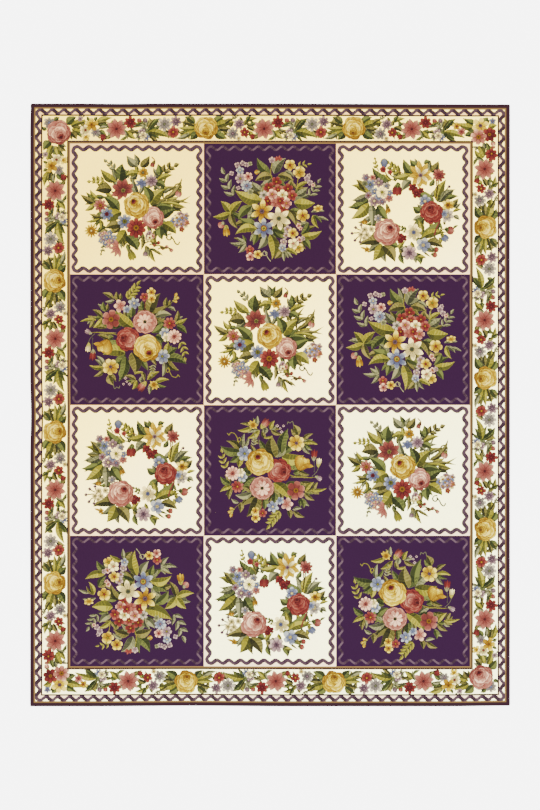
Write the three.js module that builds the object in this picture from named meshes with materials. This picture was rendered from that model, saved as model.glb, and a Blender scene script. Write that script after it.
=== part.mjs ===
import * as THREE from 'three';

// A needlepoint rug, wool tent stitches on cotton canvas, lying flat and face up.
// Millimetres, +X across the rug, +Y along it, +Z up. The origin is the middle of its underside.

// Driving dimensions
const STITCH = 2.4;             // one stitch of the canvas, the same across and along
const STITCHES_ACROSS = 1248;
const STITCHES_ALONG = 1568;
const THICKNESS = 5;            // wool, canvas and backing cloth together
const RIM_ROUND = 2.2;          // the canvas is turned under at the edge, so the rim is round
const RIM_STEPS = 4;
const CORNER_REACH = 8;         // the turned corners are soft over this much of each side
const CORNER_STEPS = 3;
const POINT_SPACING = 130;      // distance between two points of the outline, along a side

const WIDTH = STITCH * STITCHES_ACROSS;
const LENGTH = STITCH * STITCHES_ALONG;

// Where blocking left a side drawn in: how far along the side the pull is centred,
// from the side's left or lower end, how far it reaches each way, and how deep it is.
const EDGE_PULLS = [
  { side: 'bottom', at: 1000, reach: 640, depth: 3.4 },
  { side: 'bottom', at: WIDTH, reach: 400, depth: 4 },
  { side: 'top', at: 560, reach: 240, depth: 1.8 },
  { side: 'top', at: WIDTH, reach: 1650, depth: 5.2 },
  { side: 'left', at: 1815, reach: 270, depth: 5 },
  { side: 'left', at: LENGTH, reach: 180, depth: 3.6 },
  { side: 'right', at: 2600, reach: 500, depth: 0.5 },
];

// How far a side lies inside its straight line, at a distance along the side.
function edgePull(side, along) {
  let inward = 0;
  for (const pull of EDGE_PULLS) {
    const away = Math.abs(along - pull.at) / pull.reach;
    if (pull.side === side && away < 1) {
      inward += pull.depth * 0.5 * (1 + Math.cos(Math.PI * away));
    }
  }
  return inward;
}

// One point of a side, from the distance along it.
const SIDE_POINT = {
  bottom: (along) => [along - WIDTH / 2, -LENGTH / 2 + edgePull('bottom', along)],
  right: (along) => [WIDTH / 2 - edgePull('right', along), along - LENGTH / 2],
  top: (along) => [along - WIDTH / 2, LENGTH / 2 - edgePull('top', along)],
  left: (along) => [-WIDTH / 2 + edgePull('left', along), along - LENGTH / 2],
};

// The points of one side, from where one soft corner ends to where the next one starts.
function sidePoints(side, length) {
  const steps = Math.round(length / POINT_SPACING);
  const points = [];
  for (let i = 0; i <= steps; i += 1) {
    const along = CORNER_REACH + (length - 2 * CORNER_REACH) * (i / steps);
    points.push(new THREE.Vector2(...SIDE_POINT[side](along)));
  }
  return points;
}

// The outline as it lies, anticlockwise from the lower left corner. Each corner is a curve
// whose control point is where the lines of its two sides cross.
function outline() {
  const sides = [
    sidePoints('bottom', WIDTH),
    sidePoints('right', LENGTH),
    sidePoints('top', WIDTH).reverse(),
    sidePoints('left', LENGTH).reverse(),
  ];
  const shape = new THREE.Shape();
  shape.moveTo(sides[0][0].x, sides[0][0].y);
  sides.forEach((side, i) => {
    const end = side.at(-1);
    const next = sides[(i + 1) % sides.length][0];
    const endsLevel = i % 2 === 0;
    side.slice(1).forEach((point) => shape.lineTo(point.x, point.y));
    shape.quadraticCurveTo(endsLevel ? next.x : end.x, endsLevel ? end.y : next.y, next.x, next.y);
  });
  return shape;
}

// Dyed wool, matt, in the deep plum of the outer band.
function wool() {
  return new THREE.MeshStandardMaterial({ color: '#4a2b44', roughness: 0.9, metalness: 0 });
}

// The rug is one flat sheet with a rounded rim, its underside at height 0.
function rug() {
  const geometry = new THREE.ExtrudeGeometry(outline(), {
    depth: THICKNESS - 2 * RIM_ROUND,
    bevelEnabled: true,
    bevelThickness: RIM_ROUND,
    bevelSize: RIM_ROUND,
    bevelOffset: -RIM_ROUND,
    bevelSegments: RIM_STEPS,
    curveSegments: CORNER_STEPS,
  });
  geometry.translate(0, 0, RIM_ROUND);
  const mesh = new THREE.Mesh(geometry, wool());
  mesh.name = 'rug';
  return mesh;
}

const part = new THREE.Group();
part.add(rug());

export default part;
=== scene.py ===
"""A needlepoint rug on a pale studio floor, seen straight from above.

Metres, +X across the rug, +Y along it, +Z up. The origin is the middle of its underside.
"""

import math

import bpy
import numpy as np
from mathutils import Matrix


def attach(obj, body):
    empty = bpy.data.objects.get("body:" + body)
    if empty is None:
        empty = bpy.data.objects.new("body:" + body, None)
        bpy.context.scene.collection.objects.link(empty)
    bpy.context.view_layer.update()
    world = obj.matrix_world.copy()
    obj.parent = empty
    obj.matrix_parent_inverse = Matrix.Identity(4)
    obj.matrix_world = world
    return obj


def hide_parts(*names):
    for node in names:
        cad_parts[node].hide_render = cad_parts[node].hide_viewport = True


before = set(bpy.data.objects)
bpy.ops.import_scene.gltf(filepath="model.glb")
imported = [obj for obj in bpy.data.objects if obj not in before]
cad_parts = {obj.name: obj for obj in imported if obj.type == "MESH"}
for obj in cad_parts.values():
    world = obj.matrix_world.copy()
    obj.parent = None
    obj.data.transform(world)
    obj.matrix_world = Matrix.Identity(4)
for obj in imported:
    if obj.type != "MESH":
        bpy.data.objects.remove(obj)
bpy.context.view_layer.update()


# The canvas. Even-weave cotton with one tent stitch every 2.4 mm, the same both ways. What is
# worked on it is kept as a chart, one number of a wool for each stitch, the first row at the
# top. Places on the chart are in mm, with y up.
STITCH = 2.4
COLUMNS = 1248
ROWS = 1568
BARE = 255
rng = np.random.default_rng(1873)


class Canvas:
    """A stretch of canvas being worked, with places measured from a middle point.

    rim is how much deeper the outer stitches of a motif are, so that it stands off its ground.
    """

    def __init__(self, columns, rows, middle=None, rim=0.3):
        middle = middle or (columns * STITCH / 2, rows * STITCH / 2)
        self.stitches = np.full((rows, columns), BARE, np.uint8)
        self.x = (np.arange(columns) + 0.5) * STITCH - middle[0]
        self.y = middle[1] - (np.arange(rows) + 0.5) * STITCH
        self.rim = rim

    def near(self, x, y, reach):
        """The stitches within reach of a place, and how far each lies across and up from it."""
        columns = slice(*np.searchsorted(self.x, (x - reach, x + reach)))
        rows = slice(*np.searchsorted(-self.y, (-y - reach, -y + reach)))
        across, up = np.meshgrid(self.x[columns] - x, self.y[rows] - y)
        return (rows, columns), across, up

    def work(self, place, inside, wool, tone, mix=0.22):
        """Works the stitches inside in a family's wools; tone 0 is its lightest, 1 its darkest."""
        first, count = wool
        level = tone * count + rng.uniform(-mix, mix, inside.shape)
        shade = first + np.clip(np.floor(level), 0, count - 1)
        self.stitches[place][inside] = np.broadcast_to(shade, inside.shape)[inside]

    def stamp(self, tile, row, column):
        """Works a tile of stitches again, its top left stitch at a row and a column."""
        rows, columns = tile.shape
        target = self.stitches[row:row + rows, column:column + columns]
        tile = tile[:target.shape[0], :target.shape[1]]
        target[tile != BARE] = tile[tile != BARE]


rug = Canvas(COLUMNS, ROWS)
EVERYWHERE = (slice(None), slice(None))


# The outer bands. Rounds of one colour that are worked side by side: the plum edge, a gold
# line, the grounds of the two borders and the thin plum and gold lines between them.
wools = []


def dye(*colours):
    """Adds a family of wools, lightest first; gives its first number and how many there are."""
    first = len(wools)
    wools.extend(colours)
    return first, len(colours)


CREAM = dye("#FFFFE4", "#FBF2D0")
MARGIN = dye("#FDEBD8")
PLUM = dye("#491F4F", "#3E1A45")
BAND = dye("#4A2838", "#3A1E2E")
GOLD = dye("#CBA976", "#96744C")

columns_in = np.minimum(np.arange(COLUMNS), np.arange(COLUMNS)[::-1])
rows_in = np.minimum(np.arange(ROWS), np.arange(ROWS)[::-1])
inset = np.minimum(columns_in[None, :], rows_in[:, None])
for first, last, wool, tone in (
        (0, 9, BAND, 0.25), (9, 11, GOLD, 0.9), (11, 14, GOLD, 0.2), (14, 16, CREAM, 0.1),
        (16, 96, CREAM, 0.1), (96, 99, BAND, 0.5), (99, 102, GOLD, 0.9), (102, 104, GOLD, 0.2)):
    rug.work(EVERYWHERE, (inset >= first) & (inset < last), wool, tone)


# The wave band. A ribbon that swings between two lines, darker where it falls than where it
# rises, with cream outside it and pinkish cream inside it.
RIBBON = dye("#AE96A0", "#907684", "#745868", "#563A4C", "#40283A")


def trail(cloth, x, y, width, wool, tone):
    """Works every stitch within half a width of a line of close points."""
    column = np.floor((x - cloth.x[0]) / STITCH + 0.5).astype(int)
    row = np.floor((cloth.y[0] - y) / STITCH + 0.5).astype(int)
    reach = int(np.ceil(np.max(width) / 2 / STITCH))
    nearest = np.full(cloth.stitches.shape, np.inf)
    first, count = wool
    level = tone * count + rng.uniform(-0.2, 0.2, x.shape)
    shade = first + np.clip(np.floor(level), 0, count - 1)
    rows, columns = cloth.stitches.shape
    for down in range(-reach, reach + 1):
        for over in range(-reach, reach + 1):
            r = np.clip(row + down, 0, rows - 1)
            c = np.clip(column + over, 0, columns - 1)
            away = np.hypot(cloth.x[c] - x, cloth.y[r] - y)
            hit = (away <= width / 2) & (away < nearest[r, c])
            nearest[r[hit], c[hit]] = away[hit]
            cloth.stitches[r[hit], c[hit]] = shade[hit]


def ribbon(cloth, box, waves, swing, thickness, rising, falling, area, outside, inside,
           way=1, thin=0.2, bend=16):
    """A waved ribbon round a box of left, right, low and high, and the grounds beside it.

    waves is how many swings there are across and along. It goes round every corner on an
    outward swing, in a bend of its own radius. Where it rises it is thinner, and has its own
    tone; way is -1 where the rising and the falling parts change places.
    """
    left, right, low, high = box
    x, y = np.meshgrid(cloth.x, cloth.y)
    out_x = np.maximum(left - x, x - right) + bend
    out_y = np.maximum(low - y, y - high) + bend
    turns = np.where(out_x > out_y, (y - low - bend) / (high - low - 2 * bend) * waves[1],
                     (x - left - bend) / (right - left - 2 * bend) * waves[0])
    in_corner = (out_x > 0) & (out_y > 0)
    out = np.where(in_corner, np.hypot(out_x, out_y), np.maximum(out_x, out_y)) - bend
    beyond = out > swing * np.where(in_corner, 1, np.cos(2 * np.pi * turns))
    cloth.work(EVERYWHERE, area & beyond, outside, 0.2)
    cloth.work(EVERYWHERE, area & ~beyond, inside, 0.2)

    corners = np.array(((left, high), (right, high), (right, low), (left, low)))
    points, slopes = [], []
    for i in range(4):
        start, end = corners[i], corners[(i + 1) % 4]
        length = np.abs(end - start).sum() - 2 * bend
        ahead = (end - start) / (length + 2 * bend)
        outward = np.array((-ahead[1], ahead[0]))
        s = np.arange(0, length, 0.9)[:, None]
        phase = 2 * np.pi * waves[i % 2] * s / length
        points.append(start + ahead * (s + bend) + outward * swing * np.cos(phase))
        slopes.append(-np.sin(phase)[:, 0])
        angle = np.linspace(0, np.pi / 2, 60)[:, None]
        round_corner = (bend + swing) * (outward * np.cos(angle) + ahead * np.sin(angle))
        points.append(end - bend * (ahead + outward) + round_corner)
        slopes.append(np.zeros(60))
    points = np.vstack(points)
    slope = np.concatenate(slopes) * way
    lit = np.clip(0.5 + 0.9 * slope, 0, 1)
    width = thickness * (1 - thin * lit)
    trail(cloth, points[:, 0], points[:, 1], width, RIBBON, falling + (rising - falling) * lit)


WAVE_LINE = 20.5
reach_x = (COLUMNS / 2 - WAVE_LINE) * STITCH
reach_y = (ROWS / 2 - WAVE_LINE) * STITCH
ribbon(rug, (-reach_x, reach_x, -reach_y, reach_y), (39, 49), 10.5, 24, 0.42, 0.68,
       (inset >= 14) & (inset < 28), CREAM, MARGIN, bend=14)
rug.work(EVERYWHERE, (inset >= 28) & (inset < 32), BAND, 0.5)


# The flower band. Roses at even distances with stars, small blooms and leaves between them,
# worked in many shades of wool on the cream ground. One long and one short side are charted,
# and the others are the same ones turned round.
LIME = dye("#D8D07C", "#BCB256", "#9A9642", "#767534", "#545428")
OLIVE = dye("#C0B474", "#948C4E", "#706C34", "#504D2A", "#3A3922")
FERN = dye("#9AA25E", "#6E7642", "#50582E", "#3A4126")
SAGE = dye("#C6C49A", "#97986E", "#6E7050", "#4C4E38")
PINK = dye("#F6D6C2", "#E8B8A4", "#D69686", "#BE7266", "#9C4C46", "#763636")
RED = dye("#D08878", "#B4584E", "#963A38", "#74282C", "#501C22")
GOLDEN = dye("#F8E69E", "#EED474", "#D8B04E", "#BC8A3A", "#96642E", "#704624")
BLUE = dye("#CED2D6", "#A0A6BE", "#7A80A2", "#56587A")
DOVE = dye("#DAD0C0", "#AAA096", "#726A68")
LILAC = dye("#E0CCC4", "#C4A8AA", "#A08288", "#785A66", "#543C4A")
IVORY = dye("#F8EEC6", "#E2D4A0", "#BAA874")
DARK_EDGE = 0.9 * STITCH


def heading(degrees):
    """How far across and up one step in a direction goes."""
    return np.cos(np.radians(degrees)), np.sin(np.radians(degrees))


def turned(across, up, degrees):
    """Offsets measured along a direction and to its left."""
    c, s = heading(degrees)
    return across * c + up * s, up * c - across * s


def span(x, y, tip_x, tip_y):
    """How far a tip is from a place, and in what direction."""
    return np.hypot(tip_x - x, tip_y - y), np.degrees(np.arctan2(tip_y - y, tip_x - x))


def each(motif, cloth, rows):
    """Works one kind of motif at every row of its places, sizes and wools."""
    for row in rows:
        motif(cloth, *row)


def petal(cloth, x, y, angle, length, width, wool, tip, base, blunt=0.6, rib=0.0):
    """One petal from its base at a place, towards an angle; blunt ones are round at the tip.

    Here and below, tip and base are its tones there, and rib is how much darker its middle is.
    """
    place, across, up = cloth.near(x, y, length + STITCH)
    along, side = turned(across, up, angle)
    u = np.clip(along / length, 0, 1)
    half = width / 2 * np.sin(np.pi * u ** (0.85 + 0.6 * blunt)) ** (1 - 0.55 * blunt)
    inside = (along > 0) & (along < length) & (np.abs(side) <= half)
    edge = np.abs(side) / np.maximum(half, 1e-6)
    tone = base + (tip - base) * u ** 1.2 + 0.18 * edge ** 3
    tone = tone + 0.07 * np.sin(side * 2.2 / STITCH * 0.9)
    rib_here = (np.abs(side) < 0.75 * STITCH) * (u < 0.8)
    cloth.work(place, inside, wool, tone + rib * rib_here)


def bloom(cloth, x, y, radius, wool, petals, notch=0.3, tip=0.12, base=0.7, eye=None,
          eye_size=0.24, turn=90, point=0.0, rib=0.0, lean=0, squash=1.0):
    """An open flower seen from above: petals round an eye, squashed where it faces away.

    notch is how deep the gaps between its petals are, and point how pointed the petals. The
    size of its eye is a share of the radius. A petal points to the angle turn.
    """
    place, across, up = cloth.near(x, y, radius + STITCH)
    along, side = turned(across, up, lean)
    along = along / squash
    far = np.hypot(along, side)
    phi = np.degrees(np.arctan2(side, along)) + lean - turn
    step = 360 / petals
    number = np.round(phi / step)
    off = np.abs(phi - number * step) / (step / 2)
    to_rib = off * step / 2 * np.pi / 180 * far
    to_gap = (1 - off) * step / 2 * np.pi / 180 * far
    reach = radius * (1 - notch * off ** (3 - 2.2 * point))
    reach = reach * (1 + 0.03 * np.sin(number * 2.4 + x))
    inside = far <= reach
    u = far / radius
    tone = base + (tip - base) * np.clip(u, 0, 1) ** 0.9 + 0.1 * off ** 2
    tone = tone + 0.05 * np.sin(number * 5.1 + y) + 0.098 * (across - up) / radius
    tone = tone + 0.3 * (to_gap < 0.55 * STITCH) * (u > 0.2)
    tone = tone + rib * (to_rib < 0.7 * STITCH) * (u < 0.8)
    tone = tone + cloth.rim * 0.5 * (far > reach - DARK_EDGE)
    cloth.work(place, inside, wool, tone)
    if eye:
        eye_radius = radius * eye_size
        cloth.work(place, far <= eye_radius, eye, 0.25 + 0.6 * far / eye_radius)
        if eye_radius > 4 * STITCH:
            cloth.work(place, far < eye_radius * 0.5, eye, 0.95)


def lobe(cloth, x, y, size, facing, wool, light, dark):
    """One cupped rose petal: lit along its outer edge, in shade where it tucks under."""
    place, across, up = cloth.near(x, y, size * 1.2 + 2 * STITCH)
    along, side = turned(across, up, facing)
    phi = np.arctan2(side, along)
    edge = size * (1 + 0.05 * np.sin(2 * phi + x) + 0.035 * np.sin(5 * phi + y))
    far = np.hypot(along, side * 0.88)
    out = np.clip((along / edge + 1) / 2, 0, 1)
    tone = dark + (light - dark) * out ** 0.75 + 0.05 * np.sin(side / size * 7 + y) * out
    tone = tone - 0.12 * (out > 0.4) * np.clip((far - edge) / (3.2 * STITCH) + 1, 0, 1)
    cloth.work(place, far <= edge + STITCH, wool, light + 0.42, 0.12)
    cloth.work(place, far <= edge, wool, tone, 0.14)


# A rose's rings of petals, from the outside in. Each is how many petals there are, how far
# out they lie, how big they are and how far the ring is shifted to the heart, all three as
# shares of the radius, then how much deeper its tone is and how far it is turned.
ROSE_RINGS = (
    (6, 0.54, 0.46, 0.0, 0.2, 30), (5, 0.40, 0.42, 0.06, 0.1, 0), (4, 0.27, 0.36, 0.14, -0.1, 45),
    (3, 0.17, 0.27, 0.24, 0.04, 0), (3, 0.10, 0.17, 0.30, 0.28, 60))


def rose(cloth, x, y, radius, wool, lean, light, dark, heart=None):
    """A full rose: guard petals, folded inner petals, and a dark heart set off its middle."""
    c, s = heading(lean)
    for count, away, size, shift, deeper, offset in ROSE_RINGS:
        turns = offset + np.arange(count) * 360 / count + rng.uniform(-12, 12, count)
        for turn in sorted(turns, key=lambda turn: -heading(turn)[0]):
            front = -heading(turn)[0]
            out_x, out_y = heading(lean + turn)
            lift = 0.12 * heading(lean + turn - 120)[0] + 0.08 * front + rng.uniform(-0.05, 0.05)
            lobe(cloth, x + (c * shift + out_x * away) * radius,
                 y + (s * shift + out_y * away) * radius, size * (1 + 0.12 * front) * radius,
                 lean + turn, wool, light + deeper - lift, dark - lift)
    for away, size, tone in ((0.33, 0.15, 0.6), (0.35, 0.08, 0.98)):
        lobe(cloth, x + c * away * radius, y + s * away * radius, size * radius, lean + 180,
             heart or wool, tone - 0.2, tone)


def leaf(cloth, x, y, tip_x, tip_y, width, wool, bend=0.08, deeper=0.0):
    """A leaf from its stalk to its tip: one half lit, one in shade, with pale ribs."""
    length, angle = span(x, y, tip_x, tip_y)
    place, across, up = cloth.near(x, y, length + width)
    along, side = turned(across, up, angle)
    u = np.clip(along / length, 0, 1)
    side = side - bend * length * 4 * u * (1 - u)
    half = width / 2 * np.sin(np.pi * u ** 0.74) ** 1.05
    inside = (along > 0) & (along < length) & (np.abs(side) <= half)
    lit = 1 if heading(angle - 30)[0] > 0 else -1
    tone = 0.48 + deeper + rng.uniform(-0.1, 0.1) - 0.25 * lit * np.sign(side) + 0.12 * (u < 0.3)
    veins = (u * max(3, length / 20) - np.abs(side) / width * 1.4) % 1
    tone = tone - 0.1 * (veins < 0.3) * (np.abs(side) < half * 0.85)
    tone = tone - 0.26 * (np.abs(side) < 0.6 * STITCH) * (u < 0.9)
    tone = tone + cloth.rim * (np.abs(side) > half - DARK_EDGE)
    cloth.work(place, inside, wool, tone)


def stroke(cloth, points, thickness, wool, tone):
    """A stem or a tendril: a smooth line through its points."""
    # A fine dark line on cream looks thinner than it is, so it is worked wider there.
    if cloth.rim > 0:
        thickness = thickness + 3.5
    points = np.array(points, float)
    ends = np.vstack([2 * points[0] - points[1], points, 2 * points[-1] - points[-2]])
    line = []
    for a, b, c, d in zip(ends, ends[1:], ends[2:], ends[3:]):
        for t in np.linspace(0, 1, max(4, int(np.hypot(*(c - b)) / 1.2))):
            line.append(0.5 * (2 * b + (c - a) * t + (2 * a - 5 * b + 4 * c - d) * t * t
                               + (3 * b - a - 3 * c + d) * t ** 3))
    line = np.array(line)
    even = np.ones(len(line))
    trail(cloth, line[:, 0], line[:, 1], even * thickness, wool, even * tone)


def sprig(cloth, x, y, tip_x, tip_y, pairs, size, wool, bend=0.1, spread=48, stem=None):
    """A stalk with pairs of narrow leaflets and one at its tip."""
    dx, dy = tip_x - x, tip_y - y
    angle = span(x, y, tip_x, tip_y)[1]
    stalk = [(x + dx * t - dy * bend * 4 * t * (1 - t), y + dy * t + dx * bend * 4 * t * (1 - t))
             for t in np.linspace(0, 1, pairs + 2)]
    stroke(cloth, stalk, STITCH * 1.1, stem or wool, 0.8)
    for i, (sx, sy) in enumerate(stalk[1:]):
        last = i == pairs
        length = size * (1 - 0.35 * i / (pairs + 1))
        for way in ((0,) if last else (-spread, spread)):
            c, s = heading(angle + way + bend * 90 * (0.5 - i / pairs))
            leaf(cloth, sx, sy, sx + length * c, sy + length * s,
                 size * (0.58 if cloth.rim > 0 else 0.36), wool)


def bud(cloth, x, y, tip_x, tip_y, width, wool, cup, base, tip):
    """A closed flower on its green cup."""
    length, angle = span(x, y, tip_x, tip_y)
    petal(cloth, x, y, angle - 14, length * 0.95, width * 0.7, wool, tip + 0.1, base)
    petal(cloth, x, y, angle + 14, length * 0.95, width * 0.7, wool, tip + 0.2, base + 0.1)
    petal(cloth, x, y, angle, length, width * 0.62, wool, tip, base, rib=-0.1)
    c, s = heading(angle)
    for way in (-30, 0, 30):
        out_x, out_y = heading(angle + way)
        leaf(cloth, x - c * 3, y - s * 3, x + 0.45 * length * out_x, y + 0.45 * length * out_y,
             width * 0.3, cup)


def tulip(cloth, x, y, tip_x, tip_y, width, wool, tip, base):
    """A cup of broad petals from its stalk to its lip, seen from the side."""
    length, angle = span(x, y, tip_x, tip_y)
    c, s = (tip_x - x) / length, (tip_y - y) / length
    for over, turn, size, lift in ((-0.2, -14, 1.0, 0.14), (0.2, 14, 1.0, 0.2), (0, 0, 0.98, 0.3),
                                   (-0.1, -6, 0.92, 0.0), (0.12, 7, 0.88, 0.05)):
        petal(cloth, x - s * over * width * 0.5, y + c * over * width * 0.5, angle + turn,
              length * size, width * 0.62, wool, tip + lift, base + lift, 0.75, -0.08)


def cluster(cloth, x, y, radius, count, size, mix, eye, turn):
    """A head of small florets in a few wools, placed like seeds in a seed head."""
    for i in range(count):
        away = radius * np.sqrt((count - i - 0.5) / count)
        c, s = heading(turn + i * 137.5)
        bloom(cloth, x + away * c, y + away * s, size, mix[i % len(mix)], 5, 0.35,
              0.1 + 0.2 * (i % 2), 0.6, eye, 0.3, turn=i * 50)


def leaves(cloth, rows):
    """Leaves from rows of places, many with a second, deeper one showing behind them.

    A row ends with the leaf's bend, and one without it has a bend of 0.1.
    """
    rows = [(*row, 0.1)[:7] for row in rows]
    for x, y, tip_x, tip_y, width, wool, bend in rows:
        if width >= 22 and rng.random() < 0.7:
            way = rng.uniform(18, 34) * (1 if bend > 0 else -1)
            dx, dy = turned(tip_x - x, tip_y - y, way)
            behind = (FERN, OLIVE, SAGE)[rng.integers(3)]
            leaf(cloth, x, y, x + 0.9 * dx, y + 0.9 * dy, 0.85 * width, behind, -bend, 0.1)
    fuller = 1.28 if cloth.rim > 0 else 1.1
    for x, y, tip_x, tip_y, width, wool, bend in rows:
        leaf(cloth, x, y, x + 1.06 * (tip_x - x), y + 1.06 * (tip_y - y), fuller * width, wool,
             bend)


def undergrowth(cloth, near, far, count, mix=(FERN, OLIVE, SAGE, LIME)):
    """Smaller leaves that show all round a bouquet between its flowers, pointing outwards."""
    chance = np.random.default_rng(count)
    for i in range(count):
        turn = math.tau * (i + chance.uniform(-0.4, 0.4)) / count
        start, length = chance.uniform(near, far), chance.uniform(58, 84)
        x, y = start * math.cos(turn), start * math.sin(turn)
        turn += chance.uniform(-0.5, 0.5)
        leaf(cloth, x, y, x + length * math.cos(turn), y + length * math.sin(turn),
             chance.uniform(24, 36), mix[i % len(mix)], chance.uniform(-0.1, 0.1))


STRIP = 110
ROSE_Y = 155
UNIT_COLUMNS = 452
UNIT_ROSE = 46
GAP_COLUMNS = 171
GAP_REACH = 139
CORNER = 150


def between(cloth, first, last):
    """Leaves that lean out on both sides between the blooms of the band."""
    chance = np.random.default_rng(last)
    for i, x in enumerate(range(first, last, 24)):
        side = (-1, 1)[i % 2]
        tip_x, tip_y = x + chance.uniform(-36, 36), side * chance.uniform(50, 72)
        leaf(cloth, x, side * chance.uniform(0, 18), tip_x, tip_y, chance.uniform(22, 32),
             (OLIVE, SAGE, FERN, LIME)[chance.integers(4)], chance.uniform(-0.1, 0.1))


def band_unit(first):
    """One repeat of the flower band, from its rose on; the first one follows a corner."""
    cloth = Canvas(UNIT_COLUMNS, STRIP, (110, ROSE_Y))
    between(cloth, 76, 640)
    if first:
        leaves(cloth, (
            (50, 23, 107, 70, 42, FERN), (101, -12, 141, -57, 22, FERN),
            (77, 16, 177, 43, 30, LIME, 0.08), (81, -4, 151, -16, 28, LIME, -0.08),
            (76, -20, 112, -68, 30, OLIVE), (198, 47, 179, 75, 16, FERN),
            (226, 47, 243, 72, 18, FERN), (233, 31, 331, 65, 30, LIME),
            (233, 27, 310, 37, 20, OLIVE), (249, 0, 319, 4, 18, SAGE),
            (249, -12, 294, -47, 24, FERN), (330, 10, 296, 26, 14, FERN)))
        sprig(cloth, 118, 52, 152, 72, 2, 20, SAGE)
        each(bloom, cloth, (
            (136, 60, 17, LILAC, 5, 0.3, 0.05, 0.6, SAGE),
            (171, -52, 28, GOLDEN, 5, 0.45, 0.0, 0.35, GOLDEN),
            (168, -10, 34, IVORY, 6, 0.42, 0.1, 0.9, RED),
            (231, -24, 31, DOVE, 7, 0.42, 0.2, 0.85, LILAC),
            (206, 24, 43, GOLDEN, 5, 0.45, 0.2, 0.6, GOLDEN, 0.24, 90, 0.4)))
        bud(cloth, 315, -51, 255, -58, 30, RED, FERN, 0.7, 0.3)
    else:
        leaves(cloth, (
            (48, 31, 111, 70, 38, FERN), (52, 12, 181, 39, 38, LIME, 0.06),
            (52, -12, 130, -60, 40, FERN, -0.1), (115, 31, 168, 60, 20, OLIVE),
            (78, 2, 150, 2, 26, OLIVE, -0.06), (110, -20, 152, -66, 18, OLIVE),
            (240, 39, 318, 62, 24, LIME), (251, 47, 279, 76, 20, FERN),
            (251, 12, 314, -27, 24, OLIVE), (228, 44, 212, 74, 16, OLIVE),
            (276, 20, 330, 30, 16, FERN)))
        sprig(cloth, 160, 50, 192, 74, 2, 20, SAGE)
        each(bloom, cloth, (
            (240, -24, 31, RED, 5, 0.35, 0.2, 0.75, GOLDEN),
            (166, -32, 38, DOVE, 7, 0.42, 0.25, 0.9, LILAC),
            (205, 26, 34, LILAC, 7, 0.38, 0.2, 0.85, LILAC),
            (202, -62, 18, IVORY, 5, 0.4, 0.1, 0.9, GOLDEN)))
        bud(cloth, 321, -43, 270, -58, 28, RED, FERN, 0.7, 0.3)
        rose(cloth, 0, 0, 72, GOLDEN, 262, 0.24, 0.86)
    leaves(cloth, (
        (444, 8, 545, 14, 22, SAGE), (428, -16, 483, -64, 26, LIME, -0.08),
        (428, -47, 384, -70, 16, FERN), (470, -14, 520, -40, 18, OLIVE),
        (549, 4, 563, 50, 16, SAGE), (480, 20, 530, 34, 16, FERN), (561, -12, 634, 60, 34, FERN),
        (563, -24, 628, -66, 28, FERN), (561, -18, 690, -58, 32, LIME, 0.08),
        (556, -2, 600, 58, 18, OLIVE), (330, -36, 296, -64, 18, OLIVE)))
    bud(cloth, 500, 28, 507, 66, 28, PINK, LIME, 0.8, 0.4)
    bud(cloth, 534, 30, 546, 68, 28, LILAC, SAGE, 0.7, 0.3)
    for x, y, wool in (
            (534, -4, SAGE), (520, -24, LILAC), (546, -54, BLUE), (503, -50, SAGE),
            (528, -44, IVORY)):
        bloom(cloth, x, y, 24, wool, 6, 0.45, 0.1, 0.8, LILAC, turn=x)
    bloom(cloth, 448, 39, 39, RED, 7, 0.35, 0.25, 0.85, RED, 0.2)
    for turn in range(0, 360, 45):
        petal(cloth, 362, -2, turn + 12, 68, 36, PINK, 0.22, 0.75, 0.3, 0.1)
    bloom(cloth, 362, -2, 8, RED, 6, 0.2, 0.8, 0.5)
    return cloth.stitches


def band_gap():
    """What joins one repeat to the next rose."""
    cloth = Canvas(GAP_COLUMNS, STRIP, (50, ROSE_Y))
    between(cloth, 20, 216)
    leaves(cloth, (
        (222, 12, 129, 37, 30, OLIVE, -0.1), (215, 34, 152, 70, 34, FERN, -0.08),
        (222, 4, 112, 6, 26, LIME, 0.06), (219, -12, 117, -40, 26, LIME, 0.08),
        (180, -30, 98, -60, 24, SAGE), (224, -18, 184, -68, 38, FERN, 0.08),
        (150, -24, 108, -22, 16, OLIVE), (196, 52, 176, 76, 16, OLIVE)))
    each(bloom, cloth, (
        (94, 44, 35, LILAC, 7, 0.38, 0.25, 0.85, LILAC),
        (78, -22, 38, RED, 6, 0.35, 0.05, 0.7, GOLDEN, 0.2),
        (23, 27, 45, DOVE, 8, 0.38, 0.1, 0.75, SAGE, 0.2)))
    return cloth.stitches


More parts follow.
